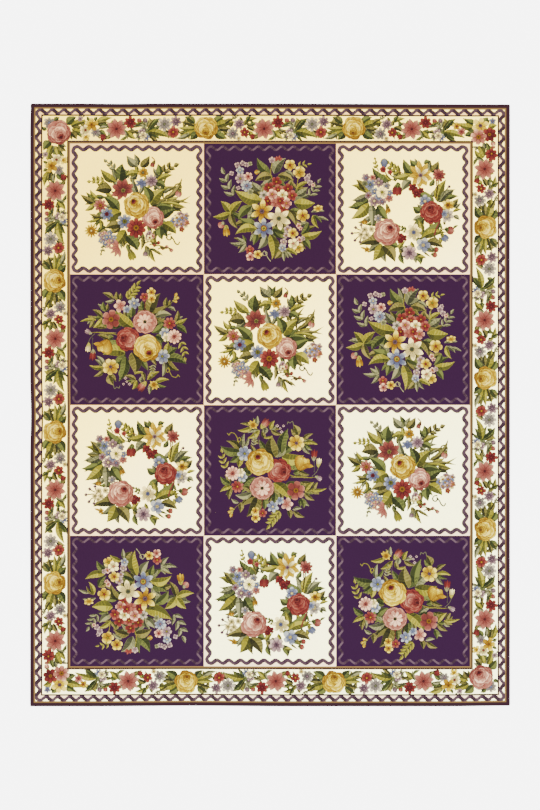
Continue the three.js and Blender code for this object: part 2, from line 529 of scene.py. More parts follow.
def band_corner():
    """The group of blooms where a long and a short run meet, measured from the rug's corner."""
    cloth = Canvas(CORNER, CORNER, (CORNER * STITCH, 0))
    leaves(cloth, (
        (-158, -119, -137, -84, 36, FERN), (-136, -150, -82, -132, 32, LIME),
        (-224, -119, -270, -92, 36, FERN), (-228, -144, -324, -118, 36, LIME, 0.08),
        (-222, -168, -284, -194, 34, FERN), (-165, -236, -160, -304, 20, SAGE, 0.05),
        (-148, -240, -136, -300, 18, FERN), (-196, -262, -164, -338, 34, LIME)))
    each(bloom, cloth, (
        (-333, -138, 26, GOLDEN, 5, 0.4, 0.2, 0.6, RED),
        (-302, -172, 26, PINK, 6, 0.35, 0.25, 0.75, RED),
        (-108, -104, 21, BLUE, 5, 0.4, 0.2, 0.8, LILAC)))
    bud(cloth, -112, -228, -98, -264, 32, PINK, SAGE, 0.5, 0.1)
    each(bloom, cloth, (
        (-114, -312, 35, RED, 6, 0.3, 0.25, 0.8, GOLDEN, 0.2),
        (-184, -134, 52, GOLDEN, 6, 0.42, 0.02, 0.4, LILAC, 0.24, 80, 0.3, 0.1),
        (-127, -190, 46, RED, 7, 0.28, 0.35, 0.85, GOLDEN),
        (-196, -206, 51, PINK, 7, 0.3, 0.2, 0.75, GOLDEN, 0.3, 60)))
    return cloth.stitches


def band_rose():
    """The pink rose in a corner, measured from the rug's corner."""
    cloth = Canvas(STRIP, STRIP, (0, 0))
    leaves(cloth, (
        (151, -112, 181, -86, 24, FERN), (104, -165, 76, -145, 20, FERN)))
    bloom(cloth, 118, -120, 36, DOVE, 7, 0.4, 0.3, 0.85, BLUE)
    rose(cloth, 179, -184, 77, PINK, 300, 0.34, 0.86, heart=RED)
    return cloth.stitches


band_area = (inset >= 32) & (inset < 96)


def into_band(tile, row, column):
    """Works a tile of stitches on the rug, where it falls inside the band's own lines."""
    before = rug.stitches.copy()
    rug.stamp(tile, row, column)
    rug.stitches[~band_area] = before[~band_area]


# The roses stand at these columns of the upper side, and these rows of the left one. The
# lower and the right side are the same strips turned round.
units = [band_unit(False) for _ in range(3)]
gap = band_gap()
for across, places, end in ((True, (74, 458, 842), COLUMNS), (False, (76, 461, 854, 1247), ROWS)):
    strip = Canvas(end, STRIP)
    strip.stamp(band_unit(True), 0, places[0] - UNIT_ROSE)
    for i, place in enumerate(places[1:]):
        strip.stamp(gap, 0, place - GAP_REACH)
        strip.stamp(units[i], 0, place - UNIT_ROSE)
    tile = strip.stitches if across else strip.stitches.T
    into_band(tile, 0, 0)
    tile = tile[::-1, ::-1]
    into_band(tile, ROWS - tile.shape[0], COLUMNS - tile.shape[1])

# Two corners have a group of blooms, on ground that is cleared of the strips' ends, and the
# other two have a pink rose.
corner = band_corner()
corner_rose = band_rose()
clear = np.zeros((ROWS, COLUMNS), bool)
clear[32:110, COLUMNS - 118:] = True
clear = (clear | clear[::-1, ::-1]) & band_area
rug.stitches[clear] = CREAM[0]
into_band(corner, 0, COLUMNS - CORNER)
into_band(corner[::-1, ::-1], ROWS - CORNER, 0)
into_band(corner_rose, 0, 0)
into_band(corner_rose[::-1, ::-1], ROWS - STRIP, COLUMNS - STRIP)


# The bouquets. Four designs that take turns in the fields: loose sprays of garden flowers
# worked petal by petal in shaded wools, with places in mm from the middle of the field.
def rose_bouquet(cloth):
    """Cream field: a yellow rose with a red heart over a pink rose and a red anemone."""
    undergrowth(cloth, 110, 235, 62)
    leaves(cloth, (
        (5, 265, -60, 330, 42, SAGE), (22, 262, 75, 328, 40, OLIVE, -0.1),
        (5, 225, -66, 210, 34, LIME, -0.1), (-108, 180, -92, 278, 54, FERN, 0.05),
        (-130, 168, -222, 245, 42, LIME, 0.08), (-155, 123, -255, 113, 56, OLIVE, -0.12),
        (-108, -12, -210, 75, 50, FERN, -0.1), (-268, 40, -348, 88, 30, OLIVE, 0.05),
        (-247, 62, -290, 118, 22, LIME), (-263, 35, -322, -8, 26, LIME),
        (-98, -18, -183, -80, 62, LIME, -0.12), (-220, -45, -295, -29, 20, OLIVE),
        (-230, -60, -317, -80, 16, LIME, 0.05), (-228, -66, -228, -130, 22, LIME),
        (-98, -98, -197, -122, 42, OLIVE, -0.1), (-72, -130, -143, -218, 58, LIME),
        (-66, -165, 3, -256, 54, FERN), (33, -165, 27, -250, 22, OLIVE),
        (147, -105, 158, -189, 42, FERN, -0.1), (158, -88, 241, -154, 52, LIME, 0.12),
        (150, -60, 243, -5, 44, FERN), (120, 14, 224, 3, 46, FERN, 0.12),
        (83, 25, 169, 118, 58, LIME), (166, 60, 275, 190, 28, OLIVE, -0.14),
        (150, 40, 329, 84, 16, LIME, -0.12), (150, 42, 323, 34, 18, OLIVE, 0.06),
        (150, 38, 307, 3, 16, LIME, 0.08), (80, 36, 40, 142, 50, FERN, -0.12),
        (8, 84, -21, 190, 32, SAGE), (108, 172, 177, 137, 38, FERN),
        (142, 208, 131, 278, 38, FERN, -0.08), (126, 179, 219, 210, 30, LIME),
        (78, -245, 115, -330, 22, LIME, -0.08), (72, -245, 74, -308, 13, SAGE, 0.0),
        (100, -262, 158, -292, 14, OLIVE), (-90, -205, -84, -240, 18, OLIVE)))
    each(sprig, cloth, (
        (140, 205, 232, 264, 2, 50, OLIVE, 0.1, 42),
        (-128, 222, -186, 292, 2, 38, SAGE, -0.1, 42),
        (-185, 158, -288, 172, 3, 36, LIME, -0.15, 50),
        (-212, -205, -224, -275, 2, 24, SAGE, 0.1, 50)))
    each(stroke, cloth, (
        (((-214, -52), (-245, -74), (-272, -108)), 4, OLIVE, 0.7),
        (((211, -156), (192, -162), (185, -180), (200, -194), (214, -184), (212, -170),
          (228, -192), (240, -214), (256, -222), (265, -208)), 4.5, SAGE, 0.8),
        (((222, 110), (240, 148), (262, 156), (276, 140), (272, 118)), 5.5, OLIVE, 0.4)))
    bud(cloth, 268, 122, 254, 72, 40, PINK, OLIVE, 0.6, 0.15)
    stroke(cloth, ((104, 262), (112, 300), (94, 322)), 4, RED, 0.5)
    bud(cloth, 104, 300, 92, 258, 24, PINK, OLIVE, 0.85, 0.5)
    for i, (x, y) in enumerate(((98, -208), (126, -220), (152, -232), (178, -246), (206, -246))):
        stroke(cloth, ((x - 46, y - 4), (x - 22, y + 4), (x, y)), 3.5, OLIVE, 0.6)
        up = 15 if i % 2 else -21
        bud(cloth, x - 8, y, x + 20, y + up, 20, RED if i < 3 else PINK, OLIVE, 0.75, 0.15)
    for turn in (150, 185, 215, 245, 275, 120):
        petal(cloth, -112, -240, turn, 66, 22, PINK, 0.25, 0.6, 0.2)
    bud(cloth, -50, -252, -20, -322, 40, LIME, OLIVE, 0.6, 0.2)
    bud(cloth, 52, -255, 50, -300, 24, LILAC, SAGE, 0.7, 0.2)
    each(cluster, cloth, (
        (272, -72, 46, 10, 22, (LILAC, BLUE, IVORY, LILAC), GOLDEN, 40),
        (290, -98, 34, 3, 19, (RED, PINK, LILAC), GOLDEN, 250),
        (-190, -186, 46, 12, 20, (BLUE, LILAC, PINK, BLUE), IVORY, 10),
        (78, -172, 22, 5, 18, (LILAC, IVORY, PINK), RED, 90)))
    each(bloom, cloth, (
        (-285, -136, 43, GOLDEN, 12, 0.45, 0.25, 0.75, IVORY, 0.16, 90, 0.5),
        (-229, 22, 40, PINK, 8, 0.35, 0.4, 0.75, GOLDEN, 0.3),
        (-189, -32, 40, BLUE, 7, 0.4, 0.25, 0.8, RED, 0.32, 90, 0.2),
        (-77, -78, 46, BLUE, 7, 0.4, 0.2, 0.75, LIME, 0.32)))
    bloom(cloth, 27, 160, 38, BLUE, 6, 0.45, 0.3, 0.75, point=0.3, squash=0.75, lean=90)
    bloom(cloth, 89, 176, 38, LILAC, 8, 0.35, 0.1, 0.75, LILAC, 0.2)
    bloom(cloth, 38, 227, 33, GOLDEN, 7, 0.3, 0.2, 0.8, SAGE, 0.26)
    for turn, length, width in (
            (205, 84, 40), (160, 78, 42), (120, 74, 40), (78, 72, 42), (30, 70, 40),
            (350, 60, 38), (240, 74, 34), (285, 52, 34)):
        petal(cloth, -84, 118, turn, length, width, PINK, 0.42, 0.98, 0.3, 0.12)
    bloom(cloth, -86, 116, 14, OLIVE, 5, 0.3)
    rose(cloth, 102, -58, 69, PINK, 300, 0.26, 0.86, heart=RED)
    bloom(cloth, -5, -118, 61, RED, 10, 0.22, 0.22, 0.8, GOLDEN, 0.3)
    rose(cloth, -5, 26, 80, GOLDEN, 130, 0.16, 0.8, heart=RED)


def lily_bouquet(cloth):
    """Plum field: a head of red and white florets over yellow, cream and blue star flowers."""
    undergrowth(cloth, 80, 200, 36, (FERN, OLIVE))
    leaves(cloth, (
        (-2, 225, -76, 314, 52, FERN, 0.12), (24, 222, 95, 311, 62, SAGE, 0.14),
        (14, 205, -87, 176, 50, OLIVE, -0.12), (51, 210, 141, 174, 44, OLIVE, 0.14),
        (93, 236, 148, 200, 20, SAGE), (-50, 112, -108, 168, 40, SAGE),
        (-50, 54, -208, 112, 68, LIME), (-115, 20, -193, -64, 50, FERN, -0.12),
        (-92, -90, -182, -62, 50, FERN), (-84, -124, -208, -156, 50, LIME, -0.16),
        (-84, -150, -104, -222, 34, FERN, 0.05), (-23, -165, -71, -245, 44, SAGE),
        (0, -160, 12, -306, 60, LIME, 0.14), (19, -122, 106, -166, 44, FERN),
        (110, -4, 157, -96, 44, OLIVE, 0.12), (152, 38, 275, 36, 62, LIME, -0.06),
        (165, 84, 231, 134, 40, SAGE, -0.1), (167, 126, 136, 178, 22, OLIVE),
        (167, 126, 237, 166, 26, LIME), (257, -20, 339, -16, 20, SAGE),
        (268, -40, 300, -115, 26, LIME, -0.1), (298, -50, 363, -72, 17, SAGE, 0.05),
        (242, -89, 194, -154, 34, FERN), (200, -168, 317, -138, 42, LIME, -0.12),
        (204, -186, 248, -248, 34, FERN), (98, -250, 166, -287, 28, LIME),
        (78, -255, 30, -306, 34, OLIVE), (84, -262, 88, -324, 22, SAGE, 0.0),
        (-246, -25, -304, 44, 44, LIME, -0.08), (-246, -25, -177, 44, 46, LIME),
        (-246, -25, -350, -48, 40, LIME), (-246, -25, -203, -118, 38, OLIVE, -0.1),
        (-150, -216, -204, -178, 24, SAGE, 0.05), (-158, -216, -246, -210, 24, SAGE),
        (-150, -220, -194, -270, 26, SAGE)))
    each(sprig, cloth, (
        (-196, 50, -282, 218, 3, 66, SAGE, 0.08, 40), (232, 62, 300, 160, 3, 48, SAGE, -0.05, 46),
        (158, 250, 236, 276, 2, 34, LIME, 0.1, 50)))
    each(stroke, cloth, (
        (((12, 190), (4, 230), (12, 285)), 4, LIME, 0.3),
        (((167, 120), (172, 170), (180, 205)), 4, LIME, 0.3),
        (((-34, -262), (-46, -274), (-40, -290), (-24, -290), (-18, -276), (-30, -266),
          (-20, -292), (-8, -312), (4, -326)), 4, SAGE, 0.2)))
    for x, y, tip_x, tip_y, wool in (
            (8, 290, 0, 316, PINK), (16, 292, 30, 312, PINK), (44, 300, 40, 342, RED),
            (50, 306, 62, 334, RED), (54, 300, 78, 320, RED), (44, 298, 26, 322, RED)):
        petal(cloth, x, y, span(x, y, tip_x, tip_y)[1], 30, 16, wool, 0.05, 0.4, 0.3)
    bloom(cloth, 12, 306, 20, LILAC, 5, 0.5, 0.1, 0.4)
    each(bud, cloth, (
        (-68, 232, -96, 226, 34, GOLDEN, LIME, 0.6, 0.2),
        (-290, -84, -318, -116, 46, PINK, SAGE, 0.6, 0.2),
        (-278, -104, -268, -172, 34, GOLDEN, LIME, 0.7, 0.2)))
    bloom(cloth, 300, 4, 30, GOLDEN, 6, 0.4, 0.1, 0.6, point=0.3, squash=0.7, lean=100)
    for x, y, r, wool, petals, eye in (
            (-187, 240, 25, BLUE, 5, IVORY), (-185, 190, 33, LILAC, 6, LIME),
            (-136, 202, 28, PINK, 6, RED), (-146, 144, 36, BLUE, 8, LILAC),
            (-205, 275, 17, LILAC, 4, None), (-172, 286, 16, LILAC, 4, None),
            (-146, 276, 15, LILAC, 4, None), (-240, 222, 15, LILAC, 4, None),
            (-198, 132, 13, LILAC, 4, None), (-124, 282, 14, SAGE, 4, None),
            (-122, 108, 20, SAGE, 5, None), (-39, 86, 29, DOVE, 6, SAGE),
            (231, 190, 19, LILAC, 5, None), (250, 164, 18, LILAC, 5, None),
            (242, 210, 12, LILAC, 4, None), (268, 150, 12, PINK, 4, None)):
        bloom(cloth, x, y, r, wool, petals, 0.45, 0.05, 0.55, eye, turn=x)
    for x, y, r, wool, eye in (
            (125, 274, 35, GOLDEN, RED), (183, 229, 38, GOLDEN, LIME),
            (204, -41, 40, GOLDEN, RED)):
        bloom(cloth, x, y, r, wool, 5, 0.35, 0.1, 0.62, eye, 0.2, turn=x)
    for x, y, r, wool, eye in (
            (110, -126, 24, LILAC, GOLDEN), (85, -206, 22, LILAC, IVORY),
            (78, -242, 24, BLUE, IVORY), (178, -104, 16, PINK, None), (190, -122, 12, PINK, None),
            (100, -165, 18, LILAC, GOLDEN), (184, -190, 18, PINK, GOLDEN),
            (204, -184, 15, LILAC, IVORY), (141, -152, 33, GOLDEN, RED),
            (178, -242, 32, GOLDEN, LIME), (146, -216, 34, IVORY, PINK)):
        bloom(cloth, x, y, r, wool, 5, 0.4, 0.05, 0.6, eye, turn=y)
    for x, y, r, wool, eye in (
            (-126, -256, 28, RED, GOLDEN), (-124, -298, 26, PINK, RED),
            (-76, -284, 27, GOLDEN, RED)):
        bloom(cloth, x, y, r, wool, 5, 0.4, 0.08, 0.6, eye, turn=x)
    for x, y, wool, tip in (
            (40, 170, RED, 0.3), (-8, 134, RED, 0.3), (112, 126, RED, 0.3), (50, 122, RED, 0.0),
            (138, 84, RED, 0.05), (-14, 50, RED, 0.3), (36, 40, PINK, 0.4), (86, 8, RED, 0.2),
            (102, 36, PINK, 0.1), (14, 92, PINK, 0.02), (78, 88, IVORY, 0.0), (62, 50, RED, 0.05)):
        bloom(cloth, x, y, 33, wool, 5, 0.38, tip, 0.7, GOLDEN, 0.2, turn=x + y)
    each(bloom, cloth, (
        (-50, -15, 74, GOLDEN, 6, 0.6, 0.0, 0.8, LILAC, 0.2, 84, 0.75, 0.1),
        (56, -60, 74, IVORY, 6, 0.58, 0.1, 0.75, SAGE, 0.2, 98, 0.75, 0.15),
        (-39, -121, 66, BLUE, 6, 0.58, 0.05, 0.9, GOLDEN, 0.3, 90, 0.7, 0.12),
        (-39, -121, 12, LIME, 5, 0.2)))


def peony_bouquet(cloth):
    """Plum field: a pale peony, a red rose and a yellow rose in a ring of small flowers."""
    undergrowth(cloth, 80, 210, 38, (FERN, OLIVE))
    leaves(cloth, (
        (-114, 240, -126, 298, 30, OLIVE), (-146, 256, -212, 290, 28, OLIVE, -0.1),
        (-141, 246, -198, 238, 20, SAGE), (-205, 176, -246, 222, 20, SAGE, -0.1),
        (-198, 176, -210, 234, 30, FERN), (-215, 140, -275, 184, 28, OLIVE, -0.1),
        (-255, 135, -306, 148, 22, OLIVE), (-218, 134, -272, 76, 28, LIME),
        (-255, 122, -350, 112, 20, LIME, -0.08), (-270, 122, -298, 76, 26, OLIVE),
        (-23, 78, -122, 180, 58, LIME), (-34, 140, -22, 218, 44, FERN, 0.05),
        (41, 170, 34, 240, 44, FERN, 0.08), (73, 160, 143, 282, 66, OLIVE, 0.12),
        (112, 142, 213, 152, 40, SAGE, 0.14), (165, 96, 95, 46, 42, FERN),
        (118, 26, 192, -18, 46, FERN, 0.12), (-98, 86, -196, 78, 50, FERN, -0.12),
        (-130, 42, -244, 46, 15, OLIVE, 0.05), (-120, -45, -170, -12, 42, FERN),
        (-74, -82, -204, -94, 66, LIME, -0.16), (-74, -104, -112, -254, 54, FERN),
        (-34, -82, -14, -212, 72, OLIVE, 0.12), (186, -118, 303, -152, 50, FERN, 0.16),
        (169, -140, 158, -228, 28, SAGE), (188, -78, 196, -22, 36, LIME, 0.05),
        (198, -88, 250, -54, 34, FERN), (240, 110, 254, 180, 28, OLIVE, -0.1),
        (240, 99, 308, 132, 26, LIME, -0.08), (246, 86, 307, 40, 34, FERN, 0.12),
        (186, 200, 186, 260, 32, OLIVE), (196, 202, 240, 178, 20, SAGE),
        (-210, -172, -295, -160, 24, LIME), (-206, -190, -266, -227, 24, OLIVE),
        (-206, -160, -250, -104, 26, SAGE, -0.1), (-178, -220, -146, -282, 40, OLIVE, -0.1),
        (-6, -252, -72, -226, 24, OLIVE, -0.1), (0, -256, -28, -308, 26, LIME),
        (26, -268, 34, -228, 24, SAGE), (-14, -214, 40, -205, 14, LIME),
        (66, -250, 138, -204, 30, LIME, 0.12), (108, -272, 197, -252, 26, LIME, 0.12),
        (84, -275, 78, -338, 24, SAGE, 0.0)))
    each(sprig, cloth, (
        (-74, 236, 2, 338, 4, 52, LIME, -0.04, 40), (252, 6, 296, -110, 3, 40, LIME, 0.1, 46),
        (102, -142, 94, -212, 3, 26, SAGE, 0.0, 55)))
    each(stroke, cloth, (
        (((46, 165), (50, 205), (50, 250)), 4, RED, 0.6),
        (((-60, -60), (-110, 20), (-200, 44), (-292, 44)), 4, LIME, 0.4),
        (((-262, 38), (-290, 10), (-304, -20)), 3.5, SAGE, 0.5),
        (((-276, 10), (-278, -30), (-274, -62)), 3.5, SAGE, 0.6),
        (((60, -130), (70, -180), (62, -260)), 4, LILAC, 0.7),
        (((152, 178), (172, 198), (206, 222), (236, 256)), 3.5, OLIVE, 0.3),
        (((196, -172), (204, -192), (190, -204), (182, -190), (196, -180), (206, -206),
          (222, -230), (246, -234), (256, -220), (266, -232)), 4, LIME, 0.3),
        (((-148, -280), (-140, -306), (-126, -296), (-112, -302), (-108, -290)), 4, SAGE, 0.3)))
    for x, y, r in ((-72, -240, 9), (-84, -278, 8), (-46, -278, 9), (-64, -262, 7)):
        bloom(cloth, x, y, r, LILAC, 4, 0.3, 0.1, 0.5)
    for x, y, tip_x, tip_y in ((232, 252, 262, 266), (224, 242, 252, 238), (238, 262, 246, 292)):
        bud(cloth, x, y, tip_x, tip_y, 13, GOLDEN, LIME, 0.5, 0.15)
    each(bud, cloth, (
        (-284, 38, -324, 58, 26, LILAC, SAGE, 0.5, 0.1),
        (-302, -20, -308, -78, 22, IVORY, LIME, 0.7, 0.1),
        (-274, -60, -278, -132, 26, RED, SAGE, 0.3, 0.5)))
    tulip(cloth, -180, -2, -214, -84, 88, GOLDEN, 0.12, 0.5)
    petal(cloth, -206, -34, 172, 66, 30, GOLDEN, 0.3, 0.6, 0.2)
    bud(cloth, 54, -262, 8, -322, 36, PINK, LIME, 0.15, 0.85)
    for turn in (140, 180, 330, 300, 250):
        petal(cloth, 108, -282, turn, 34, 17, GOLDEN, 0.15, 0.5, 0.2)
    bloom(cloth, 106, -280, 22, GOLDEN, 6, 0.4, 0.3, 0.7)
    for x, y, r, wool, petals, point, eye in (
            (89, 296, 28, GOLDEN, 5, 0.0, RED), (91, 256, 26, GOLDEN, 5, 0.0, RED),
            (46, 267, 27, RED, 5, 0.0, GOLDEN), (-106, 211, 40, PINK, 5, 0.6, None),
            (-18, 227, 38, BLUE, 6, 0.7, IVORY), (-64, 190, 24, BLUE, 5, 0.4, None),
            (203, 102, 38, RED, 8, 0.1, GOLDEN), (174, 40, 34, BLUE, 6, 0.3, IVORY),
            (184, 14, 26, IVORY, 6, 0.2, None), (158, -104, 46, BLUE, 7, 0.0, LIME)):
        bloom(cloth, x, y, r, wool, petals, 0.42, 0.08, 0.6, eye, 0.2, turn=x, point=point)
    each(bloom, cloth, (
        (233, 19, 44, PINK, 10, 0.3, 0.0, 0.45, PINK, 0.3, 90, 0.2),
        (-162, 126, 58, PINK, 6, 0.32, 0.5, 0.9, GOLDEN, 0.28, 80),
        (-165, -170, 50, GOLDEN, 7, 0.28, 0.08, 0.6, LILAC, 0.22, 60)))
    rose(cloth, -61, 3, 74, RED, 165, 0.16, 0.9)
    for turn, away, size in ((330, 26, 27), (290, 30, 22), (20, 30, 20), (340, 12, 18)):
        c, s = heading(turn)
        lobe(cloth, -61 + away * c, 3 + away * s, size, turn, PINK, 0.34, 0.86)
    for turn in range(0, 360, 40):
        c, s = heading(turn)
        lobe(cloth, 49 + 40 * c, 110 + 38 * s, 34, turn, PINK, 0.32, 0.8)
    bloom(cloth, 49, 112, 48, PINK, 9, 0.4, 0.2, 0.02, OLIVE, 0.24)
    rose(cloth, 65, -56, 84, GOLDEN, 290, 0.18, 0.84, heart=RED)


def wreath(cloth):
    """Cream field: a ring of roses, a lily, a hydrangea head and white blooms."""
    undergrowth(cloth, 175, 235, 34)
    leaves(cloth, (
        (-88, 158, -187, 256, 44, FERN), (46, 217, -57, 200, 34, LIME),
        (51, 179, -4, 114, 42, SAGE, -0.12), (57, 220, 6, 308, 40, FERN),
        (83, 270, 46, 307, 28, FERN), (131, 280, 171, 299, 26, FERN),
        (172, 228, 219, 296, 40, OLIVE, -0.1), (195, 46, 93, 128, 54, FERN, 0.12),
        (211, 46, 266, 176, 48, LIME, 0.08), (233, 51, 322, 118, 36, SAGE, 0.12),
        (262, 57, 343, 78, 26, FERN), (313, 9, 346, 62, 28, OLIVE), (310, -18, 364, -4, 16, LIME),
        (313, -42, 351, -68, 22, SAGE), (118, -18, 64, 14, 36, FERN),
        (128, -58, 64, -106, 46, FERN), (118, -160, 94, -70, 28, LIME, -0.1),
        (115, -176, 231, -72, 54, FERN, -0.1), (115, -182, 260, -150, 42, LIME, 0.12),
        (145, -202, 247, -243, 42, OLIVE, 0.14), (-78, -222, -30, -240, 36, FERN),
        (-29, -250, 14, -204, 24, LIME), (-18, -276, 7, -342, 26, FERN, -0.1),
        (83, -274, 110, -345, 36, FERN), (92, -300, 142, -306, 20, LIME),
        (-138, -203, -268, -226, 50, OLIVE, -0.14), (-134, -218, -186, -318, 54, LIME),
        (-122, -228, -54, -328, 52, OLIVE, 0.12), (-215, 62, -340, 14, 42, FERN, 0.12),
        (-212, 35, -318, -56, 52, LIME), (-225, 89, -313, 56, 34, SAGE),
        (-218, 97, -318, 144, 32, LIME, -0.14), (-235, 118, -291, 180, 32, OLIVE, -0.08),
        (-198, 30, -194, -106, 42, SAGE, 0.05), (-157, 25, -92, -66, 50, FERN, -0.1),
        (-225, -70, -280, -82, 18, OLIVE), (238, -120, 215, -150, 14, LIME),
        (258, -100, 266, -72, 14, OLIVE), (226, -178, 240, -212, 18, LIME),
        (312, -122, 346, -104, 12, FERN), (130, -250, 190, -272, 12, FERN, 0.0),
        (120, -262, 172, -300, 10, OLIVE, 0.0)))
    each(sprig, cloth, (
        (0, 222, -86, 284, 3, 46, LIME, 0.08, 52, GOLDEN),
        (-150, 236, -172, 306, 2, 26, LIME, 0.1, 40), (40, -134, -14, -112, 2, 28, FERN, 0.1, 50)))
    each(stroke, cloth, (
        (((-110, 226), (-84, 190), (-50, 178)), 4, FERN, 0.6),
        (((-80, 214), (-58, 196), (-48, 176)), 4, FERN, 0.6),
        (((206, 190), (212, 130), (206, 70)), 4, RED, 0.8),
        (((222, 176), (216, 130), (208, 80)), 4, OLIVE, 0.6),
        (((286, 138), (262, 110), (244, 80)), 3.5, SAGE, 0.7),
        (((232, -72), (210, -118), (196, -160)), 5, PINK, 0.8),
        (((286, -130), (250, -128), (212, -158)), 4, LIME, 0.7)))
    for x, y in ((-318, -152), (-296, -116), (-300, -196), (-268, -206), (-262, -100)):
        stroke(cloth, ((x, y), ((x - 250) / 2, (y - 145) / 2), (-222, -138)), 3.5, SAGE, 0.8)
        bloom(cloth, x, y, 11, LILAC, 4, 0.4, 0.3, 0.8)
    bloom(cloth, 289, 140, 10, LILAC, 4, 0.3, 0.4, 0.8)
    petal(cloth, -117, 250, 90, 66, 48, SAGE, 0.3, 0.7, 0.9)
    petal(cloth, -117, 252, 90, 60, 38, BLUE, 0.3, 0.7, 0.9)
    bloom(cloth, -125, 246, 21, RED, 5, 0.15, 0.1, 0.7)
    bloom(cloth, -82, 230, 16, RED, 5, 0.15, 0.05, 0.5)
    for x, y, r, wool, petals, eye in (
            (-232, 195, 28, LILAC, 6, BLUE), (-190, 196, 20, PINK, 6, RED),
            (-205, 152, 34, BLUE, 7, SAGE), (-152, 163, 30, LILAC, 6, IVORY),
            (-104, 142, 26, DOVE, 6, BLUE), (-238, 160, 20, SAGE, 5, None),
            (-216, 84, 24, LILAC, 6, RED), (-178, 110, 26, BLUE, 6, IVORY),
            (-130, 46, 26, LILAC, 6, BLUE), (-88, 68, 28, PINK, 7, LILAC),
            (-84, 100, 22, BLUE, 5, IVORY), (-180, 50, 36, LILAC, 7, IVORY),
            (-152, 78, 24, BLUE, 6, IVORY), (-156, -58, 24, DOVE, 6, BLUE)):
        bloom(cloth, x, y, r, wool, petals, 0.35, 0.2, 0.7, eye, turn=x)
    bloom(cloth, -130, 104, 36, IVORY, 8, 0.2, 0.0, 0.6, LIME, 0.25)
    bud(cloth, -34, 164, -38, 78, 54, RED, FERN, 0.6, 0.3)
    for x, y, tip_x, tip_y in ((-104, 30, -94, -2), (-98, 20, -84, -26), (-106, 12, -88, -34)):
        bud(cloth, x, y, tip_x, tip_y, 16, GOLDEN, OLIVE, 0.7, 0.3)
    bud(cloth, -240, -60, -240, -100, 34, GOLDEN, OLIVE, 0.7, 0.3)
    bloom(cloth, -226, -253, 20, GOLDEN, 5, 0.4, 0.2, 0.7, None, 0.24, 90, 0.5)
    petal(cloth, -226, -253, 160, 42, 14, GOLDEN, 0.3, 0.5, 0.1)
    for x, y, r in (
            (-240, -128, 24), (-262, -160, 22), (-226, -162, 24), (-198, -126, 22),
            (-244, -182, 16)):
        bloom(cloth, x, y, r, IVORY, 5, 0.4, 0.1, 0.9, SAGE, 0.24, turn=x)
    bloom(cloth, 225, 211, 42, PINK, 9, 0.35, 0.45, 0.9, RED, 0.2, 90, 0.2)
    for x, y, r in (
            (62, 132, 30), (84, 96, 30), (112, 116, 20), (-22, -172, 26), (2, -182, 24),
            (-18, -196, 22)):
        bloom(cloth, x, y, r, RED, 5, 0.35, 0.35, 0.85, RED, turn=y)
    each(bloom, cloth, (
        (281, 24, 38, GOLDEN, 6, 0.4, 0.1, 0.5, GOLDEN, 0.4, 90, 0.3),
        (137, 48, 40, BLUE, 6, 0.35, 0.15, 0.75, IVORY, 0.24, 30),
        (275, -42, 42, DOVE, 7, 0.35, 0.0, 0.7, IVORY, 0.3),
        (255, -30, 24, BLUE, 6, 0.35, 0.1, 0.7)))
    each(bud, cloth, (
        (262, -128, 322, -140, 52, PINK, FERN, 0.75, 0.4),
        (236, -158, 282, -200, 40, BLUE, LIME, 0.7, 0.3),
        (184, -252, 226, -254, 32, RED, FERN, 0.5, 0.1),
        (176, -284, 216, -290, 32, RED, FERN, 0.4, 0.05)))
    each(bloom, cloth, (
        (67, -146, 54, IVORY, 7, 0.45, 0.1, 0.8, BLUE, 0.24, 20, 0.3, 0.15),
        (126, -226, 46, BLUE, 5, 0.4, 0.05, 0.65, IVORY, 0.24, 70),
        (40, -274, 48, LILAC, 7, 0.35, 0.02, 0.6, LILAC, 0.3)))
    for turn, length, width in (
            (20, 70, 34), (60, 86, 36), (98, 96, 36), (140, 84, 38), (185, 72, 36), (228, 76, 38),
            (262, 82, 40), (300, 76, 38), (340, 80, 40)):
        petal(cloth, 110, 211, turn, length, width, GOLDEN, 0.2, 0.5, 0.3, 0.15)
    for turn in (40, 120, 250, 320):
        petal(cloth, 110, 211, turn, 62, 24, IVORY, 0.0, 0.7, 0.3, 0.15)
    bloom(cloth, 110, 211, 14, LILAC, 6, 0.2, 0.3, 0.9)
    rose(cloth, 177, -18, 70, RED, 110, 0.16, 0.92)
    rose(cloth, -98, -140, 82, PINK, 50, 0.24, 0.84, heart=RED)


# The fields. Twelve squares in three columns and four rows, cream and plum in turn, each with
# its ribbon and one of four designs. On cream, a few fine straight lines are worked a shade darker.
FIELD_COLUMNS = (104, 452, 796, 1144)
FIELD_ROWS = (104, 444, 784, 1124, 1464)
FIELD_PLAN = (
    (rose_bouquet, lily_bouquet, wreath),
    (peony_bouquet, rose_bouquet, lily_bouquet),
    (wreath, peony_bouquet, rose_bouquet),
    (lily_bouquet, wreath, peony_bouquet))
RIBBON_IN = 28
for j, plan in enumerate(FIELD_PLAN):
    for i, design in enumerate(plan):
        left, right = FIELD_COLUMNS[i], FIELD_COLUMNS[i + 1]
        top, low = FIELD_ROWS[j], FIELD_ROWS[j + 1]
        field = Canvas(right - left, low - top)
        area = np.ones(field.stitches.shape, bool)
        box = (field.x[0] + RIBBON_IN, field.x[-1] - RIBBON_IN,
               field.y[-1] + RIBBON_IN, field.y[0] - RIBBON_IN)
        if (i + j) % 2:
            field.rim = -0.3
            mirrored = -1 if (i, j) in ((2, 1), (2, 3)) else 1
            ribbon(field, box, (10, 10), 10.5, 15, 0.3, 0.62, area, PLUM, PLUM, mirrored)
        else:
            ribbon(field, box, (10, 10), 9.5, 26, 0.5, 0.6, area, MARGIN, CREAM, -1, 0.15)
        design(field)
        turned_round = (i, j) in ((1, 2), (0, 3), (2, 3))
        rug.stamp(field.stitches[::-1, ::-1] if turned_round else field.stitches, top, left)

